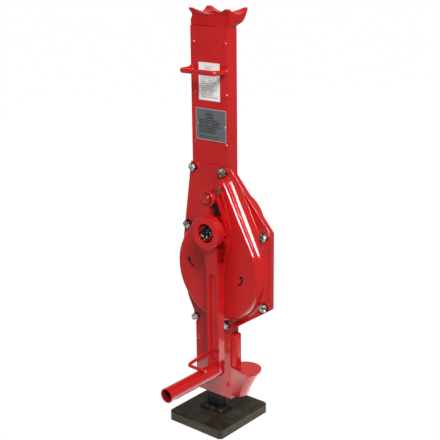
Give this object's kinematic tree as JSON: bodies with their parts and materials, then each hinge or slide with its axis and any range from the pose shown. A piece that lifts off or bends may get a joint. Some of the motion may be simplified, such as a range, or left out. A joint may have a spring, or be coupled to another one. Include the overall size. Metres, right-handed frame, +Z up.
{
  "type": "rack and pinion jack",
  "caption": "Red hand-cranked rack jack: a plate-built housing with crown, toe claw, gear case and ratchet crank climbs a toothed rack on a square foot plate.",
  "frame": {"origin": "on the foot plate's underside, below the middle of the housing column", "axes": "+X to the right along the front face, towards the toe claw; +Y to the back, away from the crank; +Z up the rack"},
  "size_m": [0.1966, 0.247, 0.73],
  "materials": {
    "red_paint": "gloss",
    "foot_paint": "satin, worn",
    "rack_steel": "black oxide, greased",
    "gear_steel": "machined, oiled",
    "zinc": "zinc plated",
    "dark_steel": "black oxide",
    "bronze": "machined",
    "brake_lining": "woven friction lining",
    "plate_metal": "satin anodised",
    "label_paper": "satin"
  },
  "bodies": {
    "base": {"foot_plate": "foot_paint", "foot_collar": "foot_paint", "rack": "rack_steel"},
    "housing": {"front_plate": "red_paint", "back_plate": "red_paint", "left_bar": "red_paint", "right_bar_upper": "red_paint", "right_bar_lower": "red_paint", "case_rim": "red_paint", "left_shoe_lower": "bronze", "right_shoe_lower": "bronze", "left_shoe_upper": "bronze", "crown": "red_paint", "toe_claw": "red_paint", "carry_handle": "red_paint", "rating_plate": "plate_metal", "paper_label": "label_paper", "plate_pins": "plate_metal", "column_rivets": "red_paint", "gear_cover": "red_paint", "cover_bolts": "zinc", "cover_nuts": "zinc", "main_rear_bearing": "red_paint", "main_front_bearing": "bronze", "crank_rear_bearing": "red_paint", "crank_front_bearing": "red_paint"},
    "gear_shaft": {"pinion_shaft": "gear_steel", "main_gear": "gear_steel", "gear_key": "gear_steel", "gear_retaining_ring": "gear_steel"},
    "crank": {"crank_shaft": "gear_steel", "rear_brake_disc": "brake_lining", "ratchet_wheel": "gear_steel", "front_brake_disc": "brake_lining", "thrust_collar": "gear_steel", "crank_arm": "red_paint", "crank_grip": "red_paint", "crank_hook": "red_paint", "crank_nut": "dark_steel", "cotter_pin": "dark_steel", "pawl_pin": "red_paint", "pawl_spacer_front": "gear_steel", "pawl_spacer_rear": "gear_steel"},
    "pawl": {"pawl": "gear_steel"}
  },
  "joints": [
    {"name": "lift", "type": "slide", "parent": "base", "child": "housing", "axis": [0, 0, 1], "range_m": [0, 0.35]},
    {"name": "gear_turn", "type": "hinge", "parent": "housing", "child": "gear_shaft", "pos_m": [0.029, 0, 0.297], "axis": [0, 1, 0], "continuous": true},
    {"name": "crank_turn", "type": "hinge", "parent": "housing", "child": "crank", "pos_m": [0.04, 0, 0.37573], "axis": [0, 1, 0], "continuous": true},
    {"name": "pawl_lift", "type": "hinge", "parent": "crank", "child": "pawl", "pos_m": [0.037, -0.049, 0.43173], "axis": [0, -1, 0], "range_deg": [0, 25], "stiffness_Nm_per_rad": 0.3, "springref_deg": -17.19}
  ],
  "couplings": [
    {"joint": "gear_turn", "follows": "lift", "rad_per_m": -50},
    {"joint": "crank_turn", "follows": "lift", "rad_per_m": 244.44}
  ]
}
